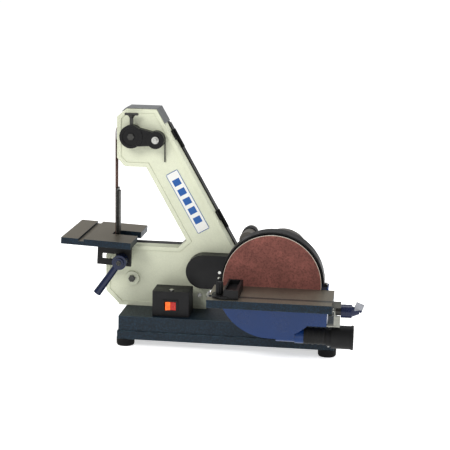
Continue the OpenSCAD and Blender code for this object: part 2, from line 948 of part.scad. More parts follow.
// The shroud's outer body, grown or shrunk, between two depths
module shroud_body(grow, y0, y1) {
    union() {
        intersection() {
            rod_y(shroud_r1 + grow, disc_x, disc_z, y0, y1);
            box([-60, y0 - 1, 0], [300, y1 + 1, split_z]);
        }
        box([disc_x, y0, disc_z - 80 - grow], [shroud_right_x + grow, y1, split_z]);
        box([disc_x, y0, disc_z - shroud_r1 - grow], [collar_x + grow, y1, disc_z - 70]);
    }
}

table_way_y = disc_face_y + 1;

module disc_shroud() {
    color("#28477c")
    difference() {
        union() {
            shroud_body(0, shroud_y0, shroud_y1);
            rod_x(outlet_r, outlet_y, outlet_z, disc_x + 12, outlet_x);
            rod_x(outlet_r + 2, outlet_y, outlet_z, collar_x, collar_x + collar_l);
            for (x = [disc_x - guard_r1 - 7, disc_x + guard_r1 + 1])
                box([x, guard_y0 + 4, split_z - 10], [x + 6, guard_y0 + 16, split_z]);
        }
        difference() {
            shroud_body(-3, shroud_y0 + 3, shroud_y1 - 3);
            rod_x(12, lock_y, lock_z, shroud_right_x - 12, shroud_right_x);
        }
        // way for the tilting table
        box([-20, shroud_y0 - 1, front_wall_top], [shroud_right_x - 14, table_way_y, split_z + 1]);
        intersection() {
            translate([0, tilt_y, table_z])
                rotate([tilt_travel, 0, 0])
                    box([-20, -150, -disc_table_t - 0.7], [shroud_right_x + 9, 40, 60]);
            box([-20, shroud_y0 - 1, 0], [shroud_right_x + 9, table_way_y, split_z + 1]);
        }
        // open top, behind the table
        box([disc_x + guard_r1 + 0.4, table_way_y - 1, split_z - 3], [shroud_right_x - 3, shroud_y1 - 3, split_z + 1]);
        rod_x(clamp_r - run_gap, lock_y, lock_z, shroud_right_x - 9, shroud_right_x + 3);
        rod_y(30, disc_x, disc_z, shroud_y1 - 5, shroud_y1 + 1);
        rod_x(outlet_r - 2.5, outlet_y, outlet_z, disc_x + 16, outlet_x + 1);
    }
}

tube_r = 17;

module dust_tube() {
    color("#333435")
    difference() {
        union() {
            rod_x(tube_r, outlet_y, outlet_z, collar_x + collar_l + 1, 226);
            for (x = [180, 192, 204, 214])
                rod_x(tube_r + 1.2, outlet_y, outlet_z, x, x + 4);
        }
        rod_x(outlet_r + 0.05, outlet_y, outlet_z, 160, 227);
    }
}

port_r = 24;

module dust_port() {
    color("#2c2d2e")
    difference() {
        union() {
            rod_x(port_r, outlet_y, outlet_z, 232, 277);
            rod_x(tube_r + 3, outlet_y, outlet_z, 222, 232 + eps);
            rod_x(port_r + 1.2, outlet_y, outlet_z, 272, 277);
        }
        rod_x(tube_r + 0.1, outlet_y, outlet_z, 221, 226.1);
        rod_x(outlet_r, outlet_y, outlet_z, 226, 235);
        rod_x(port_r - 3, outlet_y, outlet_z, 234, 278);
    }
}

module support_bracket() {
    color("#b9bbb6")
    difference() {
        union() {
            box([236, lock_y - 9, disc_z - 76], [239, lock_y + 5, lock_z]);
            box([236, lock_y - 9, disc_z - 76], [249, lock_y - 6, lock_z - 9]);
            box([shroud_right_x, lock_y - 9, disc_z - 79], [249, lock_y + 5, disc_z - 76 + eps]);
            rod_x(11, lock_y, lock_z, 236, 239);
        }
        rod_x(clamp_r - run_gap, lock_y, lock_z, 235, 240);
    }
}

// ---------------------------------------------------------------- disc table

module disc_table() {
    color("#9a968c")
    difference() {
        box([table_x0, table_y0, table_z - disc_table_t], [table_x1, tilt_y, table_z]);
        // relief under the back edge
        translate([0, tilt_y, table_z - 1.2])
            rotate([-45, 0, 0])
                box([table_x0 - 1, 0, -60], [table_x1 + 1, 60, 0]);
        // miter groove
        box([table_x0 - 1, groove_y - groove_w / 2, table_z - groove_t], [table_x1 + 1, groove_y + groove_w / 2, table_z + 1]);
        // hollow underside
        box([table_x0 + 6, table_y0 + 6, table_z - disc_table_t - 1],
            [table_x1 - 16, groove_y - groove_w / 2 - 5, table_z - 6]);
        box([table_x0 + 12, groove_y + groove_w / 2 + 5, table_z - disc_table_t - 1],
            [table_x1 - 16, tilt_y - 20, table_z - 6]);
    }
}

// A quadrant plate with an arc slot about the tilt axis, from x0, thick along X
module trunnion(x0, t) {
    slot_r0 = lock_radius - clamp_r - 0.1;
    slot_r1 = lock_radius + clamp_r + 0.1;
    quadrant_r = lock_radius + clamp_r + 7;
    arc_step = 15;
    sector = [
        [0, 0],
        for (a = [lock_angle : -arc_step : lock_angle - 45]) 90 * [cos(a), sin(a)]
    ];
    translate([x0, tilt_y, table_z])
        rotate([90, 0, 90])
            linear_extrude(t)
                difference() {
                    intersection() {
                        circle(r = quadrant_r);
                        translate([-quadrant_r, -quadrant_r])
                            square([quadrant_r + 2, quadrant_r - disc_table_t]);
                    }
                    intersection() {
                        difference() {
                            circle(r = slot_r1);
                            circle(r = slot_r0);
                        }
                        polygon(sector);
                    }
                    for (a = [lock_angle, lock_angle - tilt_travel])
                        translate(lock_radius * [cos(a), sin(a)])
                            circle(r = clamp_r + 0.1);
                }
}

module disc_trunnions() {
    color("#22343f") {
        trunnion(trunnion_x0, trunnion_t);
    }
}

handle_x0 = 250;

module disc_table_handle() {
    color("#1c2340")
    difference() {
        union() {
            rod_x(9, lock_y, lock_z, 239.4, handle_x0 + eps);
            rod_x(13.5, lock_y, lock_z, handle_x0, handle_x0 + 22);
            translate([handle_x0 + 22 - eps, lock_y, lock_z])
                rotate([0, 90, 0])
                    cylinder(r1 = 11, r2 = 5, h = 15);
            translate([handle_x0 + 25, lock_y, lock_z + 4])
                rotate([0, 20, 0])
                    translate([0, -3, 0])
                        cube([17, 6, 17]);
        }
        rod_x(clamp_r, lock_y, lock_z, 239, trunnion_x0 + 44.5);
    }
}

// ---------------------------------------------------------------- miter gauge

miter_x = 21;
knob_x = 10;
stud_r = 2.5;
miter_pin_r = 3;
bar_w = groove_w - 0.4;
bar_low = table_z - groove_t + 0.2;
bar_top = table_z - 0.1;
head_z = table_z + 0.3;
head_t = 5;
head_r = 26;
fence_h = 19;
fence_x1 = 50;
fence_y0 = groove_y - 23;
fence_y1 = groove_y + 67;
slot_in = miter_x - knob_x - 3;
slot_out = miter_x - knob_x + 3;

module miter_bar() {
    color("#b4b2a8")
    difference() {
        union() {
            box([-6, groove_y - bar_w / 2, bar_low], [252, groove_y + bar_w / 2, bar_top]);
            rod_z(miter_pin_r, miter_x, groove_y, bar_top - 1, head_z + head_t - 0.5);
        }
        rod_z(stud_r, knob_x, groove_y, bar_low - 1, bar_top + 1);
    }
}

module miter_head() {
    color("#6c6e6c")
    difference() {
        intersection() {
            rod_z(head_r, miter_x, groove_y, head_z, head_z + head_t);
            box([-20, -330, 0], [miter_x + 9, -230, 400]);
        }
        rod_z(miter_pin_r + run_gap, miter_x, groove_y, head_z - 1, head_z + 20);
        // arc slot for the locking stud
        intersection() {
            difference() {
                rod_z(slot_out, miter_x, groove_y, head_z - 1, head_z + 20);
                rod_z(slot_in, miter_x, groove_y, head_z - 1, head_z + 20);
            }
            box([-40, groove_y - 12, head_z - 1], [miter_x - 3, groove_y + 12, head_z + 20]);
        }
    }
}

module miter_fence() {
    color("#202122")
    difference() {
        union() {
            box([miter_x + 9.01, fence_y0, head_z], [fence_x1, fence_y1, head_z + fence_h]);
            box([miter_x, fence_y0, head_z + head_t + 0.01], [miter_x + 9.02, fence_y1, head_z + fence_h]);
        }
        box([miter_x + 3, fence_y0 + 5, head_z + head_t + 4], [fence_x1 - 5, fence_y1 - 5, head_z + fence_h + 1]);
    }
}

module miter_knob() {
    color("#2b2b2c")
    union() {
        rod_z(stud_r - run_gap, knob_x, groove_y, bar_low + 0.1, head_z + head_t + 2);
        rod_z(7.5, knob_x, groove_y, head_z + head_t + pass_gap, head_z + 31);
    }
}

// ---------------------------------------------------------------- switch group

switch_x0 = -161;
switch_x1 = -81;
switch_y0 = -86;
switch_y1 = -28;
switch_top = base_h + 55.6;
rocker_x = (switch_x0 + switch_x1) / 2 - 1;
rocker_z = base_h + 24;
rocker_half_w = 12.5;
rocker_half_h = 9;
rocker_pin_r = 1.5;
rocker_tip = 8;

module switch_box() {
    color("#303132")
    difference() {
        box([switch_x0, switch_y0, base_h], [switch_x1, switch_y1, switch_top]);
        box([switch_x0 + 2, switch_y0 + 3, base_h - 1], [switch_x1 - 2, switch_y1 - 2, switch_top - 2]);
        box([rocker_x - 15, switch_y0 - 1, rocker_z - 11], [rocker_x + 15, switch_y0 + 4, rocker_z + 11]);
        rod_y(6, switch_x0 + 20, base_h + 20, switch_y1 - 3, switch_y1 + 1);
    }
}

module switch_bezel() {
    color("#151516")
    difference() {
        union() {
            box([rocker_x - 17, switch_y0 - 2, rocker_z - 13], [rocker_x + 17, switch_y0, rocker_z + 13]);
            box([rocker_x - 15, switch_y0 - eps, rocker_z - 11], [rocker_x + 15, switch_y0 + 22, rocker_z + 11]);
        }
        box([rocker_x - rocker_half_w - 0.5, switch_y0 - 3, rocker_z - rocker_half_h - 0.5],
            [rocker_x + rocker_half_w + 0.5, switch_y0 + 12, rocker_z + rocker_half_h + 0.5]);
        rod_z(rocker_pin_r + run_gap, rocker_x, rocker_pivot_y, rocker_z - 12, rocker_z + 12);
    }
}

rocker_pivot_y = switch_y0 + 6;

module switch_rocker() {
    color("#c43a26")
    union() {
        translate([rocker_x, rocker_pivot_y, rocker_z - rocker_half_h])
            rotate([0, 0, rocker_tip])
                linear_extrude(2 * rocker_half_h)
                    polygon([[-11.5, -10], [0, -7], [11.5, -10], [9.5, 0], [3, 3], [-3, 3], [-9.5, 0]]);
        rod_z(rocker_pin_r, rocker_x, rocker_pivot_y, rocker_z - 10.7, rocker_z + 10.7);
    }
}

module cord_gland() {
    color("#18181a")
    difference() {
        union() {
            rod_y(6, switch_x0 + 20, base_h + 20, switch_y1 - 6, switch_y1 + eps);
            rod_y(8.5, switch_x0 + 20, base_h + 20, switch_y1, switch_y1 + 10);
        }
        rod_y(3.6, switch_x0 + 20, base_h + 20, switch_y1 - 7, switch_y1 + 11);
    }
}

// Round-headed screws that hold the covers, the guard, the hose and the frame
module housing_screws() {
    color("#c9c9c4") {
        screw_front(cover_left_x + 37.4, drive_z + 1, cover_front_y, 3.4, 1.9);
        screw_front(foot_corner_x, foot_corner_z, panel_y, 4.5, 3);
        for (x = [disc_x - guard_r1 - 4, disc_x + guard_r1 + 4])
            rod_z(3, x, guard_y0 + 10, split_z + 5, split_z + 8);
        for (z = [outlet_z - tube_r - 5, outlet_z + tube_r + 3])
            rod_z(2.5, 227, outlet_y, z, z + 2);
        rod_z(5, (switch_x0 + switch_x1) / 2, switch_y0 + 12, switch_top, switch_top + 2.5);
    }
}

base();
rubber_feet();
foot_screws();
belt_frame();
top_guard();
label_plate();
platen();
platen_bracket();
abrasive_belt();
arm_pivot_bolt();
tension_spring();
lower_axle();
clamp_bolts();
pulley_cover();
drive_belt();
shaft_bearings();
spindle_housing();
motor_shell();
motor_bells();
stator_core();
motor_mounts();
capacitor();
disc_guard();
disc_shroud();
dust_tube();
dust_port();
support_bracket();
switch_box();
switch_bezel();
housing_screws();
cord_gland();
tension_arm();
upper_axle();
tracking_screw();
upper_idler_wheel();
upper_idler_bearings();
lower_idler_wheel();
lower_idler_bearings();
drive_wheel();
drive_shaft();
driven_pulley();
arbor_shaft();
rotor();
motor_pulley();
disc_plate();
abrasive_disc();
rear_cover();
cover_catches();
frame_latches();
belt_table_bracket();
belt_table();
belt_table_lever();
disc_table();
disc_trunnions();
disc_table_handle();
miter_bar();
miter_head();
miter_fence();
miter_knob();
switch_rocker();
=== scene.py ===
import bpy
import bmesh
import json
import math
from mathutils import Matrix, Vector


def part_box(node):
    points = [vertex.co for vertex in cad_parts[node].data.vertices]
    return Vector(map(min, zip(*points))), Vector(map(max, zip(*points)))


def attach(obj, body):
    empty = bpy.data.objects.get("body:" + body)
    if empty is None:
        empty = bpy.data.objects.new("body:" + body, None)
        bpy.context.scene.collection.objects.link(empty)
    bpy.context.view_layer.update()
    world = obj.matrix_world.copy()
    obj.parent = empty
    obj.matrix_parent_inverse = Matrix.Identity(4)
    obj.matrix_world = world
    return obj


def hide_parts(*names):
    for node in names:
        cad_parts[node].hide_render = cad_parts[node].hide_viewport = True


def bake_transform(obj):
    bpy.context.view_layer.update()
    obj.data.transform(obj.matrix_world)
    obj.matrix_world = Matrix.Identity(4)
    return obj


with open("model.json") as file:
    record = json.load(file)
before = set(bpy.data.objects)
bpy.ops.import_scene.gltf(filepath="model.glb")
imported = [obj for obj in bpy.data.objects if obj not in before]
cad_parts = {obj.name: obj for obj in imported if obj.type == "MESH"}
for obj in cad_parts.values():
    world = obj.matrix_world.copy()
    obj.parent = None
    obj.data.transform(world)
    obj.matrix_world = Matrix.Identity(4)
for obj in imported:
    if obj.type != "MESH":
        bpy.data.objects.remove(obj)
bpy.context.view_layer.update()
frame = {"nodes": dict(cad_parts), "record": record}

scene = bpy.context.scene
nodes = frame["nodes"]
record = frame["record"]
MM = 0.001

# Camera: where it stands, how it is turned and its lens on a 36 mm sensor
CAMERA_AT = (0.3203, -2.69352, 0.80915)
CAMERA_YAW, CAMERA_PITCH = math.radians(7.124), math.radians(11.816)
CAMERA_ROLL = 0.01926
SENSOR_MM, LENS_MM = 36, 101.12

# Middle of the sanding disc (X, Z) and its radius, and the belt table's clamp bolt (X, Z)
DISC = (0.106, 0.162, 0.1016)
CLAMP = (-0.237, 0.163)

# The disc table's handle: its dark spacer ends, and its paddle starts beyond and above
SPACER_END_X = 0.25
PADDLE_X, PADDLE_Z = 0.2772, 0.1195

# The slanted label: its tilt, and its plain blocks along it
LABEL_TILT = math.radians(-60)
BLOCKS, BLOCK_FIRST, BLOCK_PITCH, BLOCK_L, BLOCK_HALF_W = 5, -0.056, 0.0235, 0.015, 0.0085

FLOOR_HALF = 250
CAMERA_SEES = 600


# ------------------------------------------------------------------ camera

def look():
    """Sets the camera from its place, yaw, pitch and roll."""
    yaw, pitch, roll = CAMERA_YAW, CAMERA_PITCH, CAMERA_ROLL
    level = math.cos(pitch)
    fw = Vector((-math.sin(yaw) * level, math.cos(yaw) * level, -math.sin(pitch)))
    right = fw.cross(Vector((0, 0, 1))).normalized()
    up = right.cross(fw)
    r2 = math.cos(roll) * right + math.sin(roll) * up
    u2 = -math.sin(roll) * right + math.cos(roll) * up
    m = Matrix((r2, u2, -fw)).transposed().to_4x4()
    m.translation = Vector(CAMERA_AT)
    data = bpy.data.cameras.new("view")
    data.sensor_width = SENSOR_MM
    data.lens = LENS_MM
    data.clip_start = 0.05
    data.clip_end = CAMERA_SEES
    cam = bpy.data.objects.new("view", data)
    cam.matrix_world = m
    scene.collection.objects.link(cam)
    scene.camera = cam


look()


# ------------------------------------------------------------------ light and floor

def area(name, at, to, size, power, colour=(1, 1, 1)):
    """A rectangular lamp at one point that faces another."""
    data = bpy.data.lights.new(name, "AREA")
    data.shape = "RECTANGLE"
    data.size, data.size_y = size
    data.energy = power
    data.color = colour
    o = bpy.data.objects.new(name, data)
    o.location = at
    o.rotation_euler = (Vector(to) - Vector(at)).to_track_quat("-Z", "Y").to_euler()
    scene.collection.objects.link(o)


world = bpy.data.worlds.new("studio")
scene.world = world
world.use_nodes = True
world.node_tree.nodes["Background"].inputs[0].default_value = (1.0, 1.0, 1.0, 1)
world.node_tree.nodes["Background"].inputs[1].default_value = 0.5
area("key", (-1.3, -2.2, 2.1), (0, -0.05, 0.2), (1.2, 1.2), 40, (1, 0.99, 0.97))
area("fill", (2.2, -1.6, 1.2), (0, 0, 0.2), (1.4, 1.8), 14, (0.97, 0.98, 1))
area("top", (0.2, 0.5, 2.4), (0, 0, 0.1), (1.8, 1.2), 26)
scene.view_settings.view_transform = "Standard"
scene.view_settings.look = "None"
scene.view_settings.gamma = 0.87


# ------------------------------------------------------------------ materials

class Shade:
    """Builds one procedural material on object coordinates, which are metres in the row frame."""

    def __init__(self, name):
        self.m = bpy.data.materials.new(name)
        self.m.use_nodes = True
        self.t = self.m.node_tree
        self.p = self.t.nodes["Principled BSDF"]
        self.c = self.t.nodes.new("ShaderNodeTexCoord").outputs["Object"]

    def n(self, kind, **sets):
        o = self.t.nodes.new("ShaderNode" + kind)
        for k, v in sets.items():
            if hasattr(o, k):
                setattr(o, k, v)
            else:
                o.inputs[k.replace("_", " ")].default_value = v
        return o

    def link(self, a, b):
        self.t.links.new(a, b)

    def stretch(self, scale, turn=(0, 0, 0)):
        o = self.n("Mapping")
        o.inputs["Scale"].default_value = scale
        o.inputs["Rotation"].default_value = turn
        self.link(self.c, o.inputs["Vector"])
        return o.outputs["Vector"]

    def noise(self, scale, detail=4, rough=0.55, vector=None):
        o = self.n("TexNoise")
        o.inputs["Scale"].default_value = scale
        o.inputs["Detail"].default_value = detail
        o.inputs["Roughness"].default_value = rough
        self.link(vector or self.c, o.inputs["Vector"])
        return o.outputs["Fac"]

    def cells(self, scale):
        o = self.n("TexVoronoi")
        o.feature = "SMOOTH_F1"
        o.inputs["Scale"].default_value = scale
        self.link(self.c, o.inputs["Vector"])
        return o.outputs["Distance"]

    def ramp(self, fac, stops):
        o = self.n("ValToRGB")
        e = o.color_ramp.elements
        while len(e) < len(stops):
            e.new(0.5)
        for k, (at, colour) in zip(e, stops):
            k.position = at
            k.color = tuple(colour) + (1,) if len(colour) == 3 else tuple(colour)
        self.link(fac, o.inputs["Fac"])
        return o.outputs["Color"]

    def span(self, fac, a, b, lo, hi):
        o = self.n("MapRange")
        for k, v in zip(("From Min", "From Max", "To Min", "To Max"), (a, b, lo, hi)):
            o.inputs[k].default_value = v
        self.link(fac, o.inputs["Value"])
        return o.outputs["Result"]

    def math(self, op, a, b=None, clamp=False):
        o = self.n("Math")
        o.operation = op
        o.use_clamp = clamp
        for k, v in enumerate((a, b)):
            if v is None:
                continue
            if isinstance(v, (int, float)):
                o.inputs[k].default_value = v
            else:
                self.link(v, o.inputs[k])
        return o.outputs[0]

    def mix(self, fac, a, b, blend="MIX"):
        o = self.n("Mix")
        o.data_type = "RGBA"
        o.blend_type = blend
        ins = [i for i in o.inputs if i.type == "RGBA"]
        for k, v in zip(ins, (a, b)):
            if isinstance(v, tuple):
                k.default_value = v + (1,) if len(v) == 3 else v
            else:
                self.link(v, k)
        f = o.inputs["Factor"]
        if isinstance(fac, (int, float)):
            f.default_value = fac
        else:
            self.link(fac, f)
        return [x for x in o.outputs if x.type == "RGBA"][0]

    def axis(self, which):
        o = self.n("SeparateXYZ")
        self.link(self.c, o.inputs[0])
        return o.outputs["XYZ".index(which)]

    def edges(self, radius, lo=0.7, hi=0.97):
        """1 near convex or concave edges, 0 on flats."""
        b = self.n("Bevel")
        b.samples = 4
        b.inputs["Radius"].default_value = radius
        g = self.n("NewGeometry")
        d = self.n("VectorMath")
        d.operation = "DOT_PRODUCT"
        self.link(b.outputs[0], d.inputs[0])
        self.link(g.outputs["Normal"], d.inputs[1])
        return self.span(d.outputs["Value"], hi, lo, 0, 1)

    def colour(self, v):
        if isinstance(v, tuple):
            self.p.inputs["Base Color"].default_value = v + (1,)
        else:
            self.link(v, self.p.inputs["Base Color"])

    def rough(self, v):
        if isinstance(v, (int, float)):
            self.p.inputs["Roughness"].default_value = v
        else:
            self.link(v, self.p.inputs["Roughness"])

    def bump(self, height, distance, strength=1.0, soft=0.0006):
        o = self.n("Bump")
        o.inputs["Distance"].default_value = distance
        o.inputs["Strength"].default_value = strength
        self.link(height, o.inputs["Height"])
        if soft:
            b = self.n("Bevel")
            b.samples = 4
            b.inputs["Radius"].default_value = soft
            self.link(b.outputs[0], o.inputs["Normal"])
        self.link(o.outputs[0], self.p.inputs["Normal"])


def lin(r, g, b):
    """An sRGB colour of 0 to 255 as linear numbers."""
    return tuple(round(((v / 255 + 0.055) / 1.055) ** 2.4 if v > 10 else v / 3294.6, 5) for v in (r, g, b))


def scale3(c, k):
    return tuple(min(1.0, v * k) for v in c)


PAINT_GLOSS = 0.35
PAINT_EDGE = 0.0008


def paint(name, rgb, rough=0.4, spread=0.12, grain=900, depth=0.00008, edge_wear_and_painted_light=None, coat=0.0):
    """Painted or moulded surface: slow colour drift, fine grain, and tinted edges if asked for, partly wear
    and partly a painted highlight where the tint is lighter.
    """
    s = Shade(name)
    base = lin(*rgb)
    drift = s.noise(9, 5, 0.6)
    fine = s.noise(grain, 3, 0.6)
    colour = s.ramp(drift, [(0.3, scale3(base, 1 - spread)), (0.7, scale3(base, 1 + spread))])
    colour = s.mix(s.span(fine, 0.35, 0.7, 0, 0.22), colour, scale3(base, 0.72))
    # Convex and concave edges mixed in patches towards the given colour: partly wear, and where that colour
    # is lighter, partly a painted highlight.
    if edge_wear_and_painted_light:
        patch = s.noise(60, 5, 0.7)
        mask = s.math("MULTIPLY", s.edges(0.0012), s.span(patch, 0.45, 0.62, 0, 0.85), True)
        colour = s.mix(mask, colour, lin(*edge_wear_and_painted_light))
    s.colour(colour)
    s.p.inputs["Metallic"].default_value = 0.0
    s.p.inputs["Specular IOR Level"].default_value = PAINT_GLOSS
    if coat:
        s.p.inputs["Coat Weight"].default_value = coat
        s.p.inputs["Coat Roughness"].default_value = 0.15
    s.rough(s.span(s.noise(35, 4), 0.3, 0.7, rough - 0.07, rough + 0.1))
    s.bump(fine, depth, 0.8, PAINT_EDGE)
    return s.m


HAMMER_ROUGH = 0.34


def hammertone(name, rgb):
    """Hammered paint: small shallow cells with a metallic shimmer, and a painted highlight in patches along
    its edges.
    """
    s = Shade(name)
    base = lin(*rgb)
    cell = s.cells(420)
    drift = s.noise(14, 4)
    colour = s.ramp(cell, [(0.08, scale3(base, 2.4)), (0.5, scale3(base, 0.7))])
    colour = s.mix(s.span(drift, 0.35, 0.7, 0, 0.5), colour, scale3(base, 0.7))
    # Painted highlight: patches along the edges lightened to a pale teal.
    mask = s.math("MULTIPLY", s.edges(0.0016), s.span(s.noise(70, 4), 0.4, 0.6, 0.15, 0.9), True)
    s.colour(s.mix(mask, colour, lin(96, 124, 134)))
    s.p.inputs["Specular IOR Level"].default_value = 0.4
    s.rough(s.span(cell, 0, 0.6, HAMMER_ROUGH - 0.08, HAMMER_ROUGH + 0.14))
    s.bump(cell, 0.00025, 0.7)
    return s.m


def machined(name, rgb, side):
    """Ground casting: bright face up with long scratches, painted or dark on its sides."""
    s = Shade(name)
    base = lin(*rgb)
    streak = s.noise(1.0, 6, 0.75, s.stretch((900, 18, 18)))
    drift = s.noise(7, 5, 0.6)
    colour = s.ramp(streak, [(0.3, scale3(base, 0.8)), (0.7, scale3(base, 1.15))])
    colour = s.mix(s.span(drift, 0.35, 0.75, 0, 0.35), colour, scale3(base, 0.75))
    sep = s.n("SeparateXYZ")
    s.link(s.n("TexCoord").outputs["Normal"], sep.inputs[0])
    up = s.span(sep.outputs["Z"], 0.8, 0.93, 0, 1)
    dark = lin(*side)
    cell = s.cells(420)
    flank = s.ramp(cell, [(0.08, scale3(dark, 2.4)), (0.5, scale3(dark, 0.7))])
    # Painted highlight: patches along the edges of the painted sides lightened to a pale grey-blue.
    mask = s.math("MULTIPLY", s.edges(0.0014), s.span(s.noise(70, 4), 0.4, 0.6, 0.1, 0.8), True)
    flank = s.mix(mask, flank, lin(104, 120, 128))
    s.colour(s.mix(up, flank, colour))
    s.link(s.span(up, 0, 1, 0.3, 0.75), s.p.inputs["Metallic"])
    s.rough(s.span(streak, 0.3, 0.7, 0.36, 0.52))
    s.bump(s.mix(up, cell, streak), 0.00012, 0.6)
    return s.m


def steel(name, rgb, rough=0.28, lines=(40, 40, 900), dirt=0.4):
    """Bare or plated metal with fine tool lines and dull spots."""
    s = Shade(name)
    base = lin(*rgb)
    streak = s.noise(1.0, 5, 0.7, s.stretch(lines))
    spots = s.noise(120, 5, 0.65)
    colour = s.ramp(streak, [(0.3, scale3(base, 0.85)), (0.7, scale3(base, 1.1))])
    s.colour(s.mix(s.span(spots, 0.5, 0.75, 0, dirt), colour, scale3(base, 0.45)))
    s.p.inputs["Metallic"].default_value = 1.0
    s.rough(s.span(spots, 0.3, 0.7, rough - 0.05, rough + 0.15))
    s.bump(streak, 0.00004, 0.6)
    return s.m


def abrasive(name, rgb, rim=None):
    """Coated abrasive: dense grit with uneven loading, an optional pale cut edge."""
    s = Shade(name)
    base = lin(*rgb)
    grit = s.noise(2400, 2, 0.7)
    cloud = s.noise(22, 6, 0.7)
    specks = s.noise(300, 5, 0.75)
    colour = s.ramp(cloud, [(0.3, scale3(base, 0.72)), (0.5, base), (0.72, scale3(base, 1.35))])
    colour = s.mix(s.span(specks, 0.47, 0.6, 0, 0.75), colour, scale3(base, 0.42))
    colour = s.mix(s.span(grit, 0.55, 0.75, 0, 0.5), colour, scale3(base, 1.9))
    if rim:
        cx, cz, r = rim
        dx = s.math("SUBTRACT", s.axis("X"), cx)
        dz = s.math("SUBTRACT", s.axis("Z"), cz)
        d = s.math("SQRT", s.math("ADD", s.math("MULTIPLY", dx, dx), s.math("MULTIPLY", dz, dz)))
        colour = s.mix(s.span(d, r - 0.0013, r - 0.0006, 0, 1), colour, lin(206, 196, 182))
    s.colour(colour)
    s.rough(0.9)
    s.bump(s.math("ADD", grit, specks), 0.0002, 1.0, 0)
    return s.m


def rocker_paint():
    """Rocker: red, with its left half painted a lighter amber that faintly glows as a painted highlight,
    without marks.
    """
    s = Shade("rocker_red")
    lo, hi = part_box("switch_rocker")
    mid = (lo[0] + hi[0]) / 2
    # Painted highlight: the left half is lighter amber and emits a faint glow.
    side = s.span(s.axis("X"), mid - 0.0015, mid - 0.0005, 1, 0)
    n = s.noise(120, 3)
    red = s.ramp(n, [(0.3, lin(168, 30, 22)), (0.7, lin(198, 44, 30))])
    painted_lit_amber = s.ramp(n, [(0.3, lin(232, 96, 30)), (0.7, lin(250, 130, 44))])
    s.colour(s.mix(side, red, painted_lit_amber))
    s.link(s.mix(side, red, painted_lit_amber), s.p.inputs["Emission Color"])
    s.link(s.span(side, 0, 1, 0.0, 0.35), s.p.inputs["Emission Strength"])
    s.rough(s.span(n, 0.3, 0.7, 0.2, 0.32))
    s.bump(s.noise(500, 2), 0.00003, 0.5)
    return s.m


def label_paint():
    """Label plate: plain colour blocks along its length, no lettering."""
    s = Shade("label_blocks")
    lo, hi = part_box("label_plate")
    cx, cz = (lo[0] + hi[0]) / 2, (lo[2] + hi[2]) / 2
    a = LABEL_TILT
    x = s.math("SUBTRACT", s.axis("X"), cx)
    z = s.math("SUBTRACT", s.axis("Z"), cz)

    def turn(kx, kz):
        return s.math("ADD", s.math("MULTIPLY", x, kx), s.math("MULTIPLY", z, kz))

    along = turn(math.cos(a), math.sin(a))
    across = turn(-math.sin(a), math.cos(a))

    def block(colour, paint_rgb, l0, l1, w0, w1):
        inl = s.math("MULTIPLY", s.math("GREATER_THAN", along, l0), s.math("LESS_THAN", along, l1))
        inw = s.math("MULTIPLY", s.math("GREATER_THAN", across, w0), s.math("LESS_THAN", across, w1))
        return s.mix(s.math("MULTIPLY", inl, inw), colour, lin(*paint_rgb))

    n = s.noise(200, 3)
    colour = s.ramp(n, [(0.3, lin(214, 214, 206)), (0.7, lin(228, 228, 220))])
    for b in LABEL_BLOCKS:
        colour = block(colour, *b)
    s.colour(colour)
    s.rough(s.span(n, 0.3, 0.7, 0.32, 0.45))
    s.bump(n, 0.00002, 0.5)
    return s.m


# Colour, then from and to along the label and across it: blue ground, white panel, blocks
LABEL_BLOCKS = [
    ((60, 104, 158), -0.09, 0.09, -0.03, 0.03),
    ((226, 226, 222), -0.0722, 0.0722, -0.0134, 0.0134),
]
for k in range(BLOCKS):
    start = BLOCK_FIRST + BLOCK_PITCH * k
    LABEL_BLOCKS.append(((30, 92, 160), start, start + BLOCK_L, -BLOCK_HALF_W, BLOCK_HALF_W))

slots = {
    # Edge colours: lighter on the black paint and the motor enamel, partly wear and partly a painted
    # highlight; darker on the cream casting.
    "cast_paint": paint("cast_cream", (214, 217, 196), 0.42, spread=0.05, grain=420, depth=0.00022,
                        edge_wear_and_painted_light=(170, 168, 150)),
    "dark_hammertone": hammertone("base_hammertone", (10, 33, 47)),
    "blue_paint": paint("shroud_blue", (12, 56, 112), 0.3, spread=0.1, grain=600, depth=0.0001, coat=0.3),
    "machined_table": machined("table_ground", (134, 128, 116), (9, 31, 45)),
    "black_paint": paint("black_satin", (16, 16, 18), 0.4, spread=0.15, edge_wear_and_painted_light=(92, 92, 92)),
    "bright_steel": steel("steel_bright", (200, 200, 196)),
    "dark_steel": steel("steel_dark", (84, 84, 82), 0.36),
    "zinc_plate": steel("zinc_plated", (150, 151, 144), 0.36, dirt=0.4),
    "cast_aluminium": steel("aluminium_cast", (176, 178, 180), 0.4, (300, 300, 300)),
    "bearing_steel": steel("steel_bearing", (196, 198, 200), 0.22),
    "rubber": paint("rubber_black", (16, 16, 17), 0.75, spread=0.2, grain=700, depth=0.00012),
    "abrasive": abrasive("belt_grit", (112, 84, 74)),
    "black_plastic": paint("plastic_charcoal", (24, 24, 26), 0.5, spread=0.1, grain=1100, depth=0.00012),
    "navy_plastic": paint("plastic_navy", (6, 24, 60), 0.25, spread=0.12, grain=800, depth=0.00005, coat=0.4),
    "red_plastic": rocker_paint(),
    "motor_grey": paint("motor_enamel", (92, 90, 86), 0.42, spread=0.12, grain=500, depth=0.00015,
                        edge_wear_and_painted_light=(130, 128, 122)),
    "lamination": steel("steel_sheets", (128, 130, 132), 0.5, (40, 3000, 40)),
    "label": label_paint(),
}


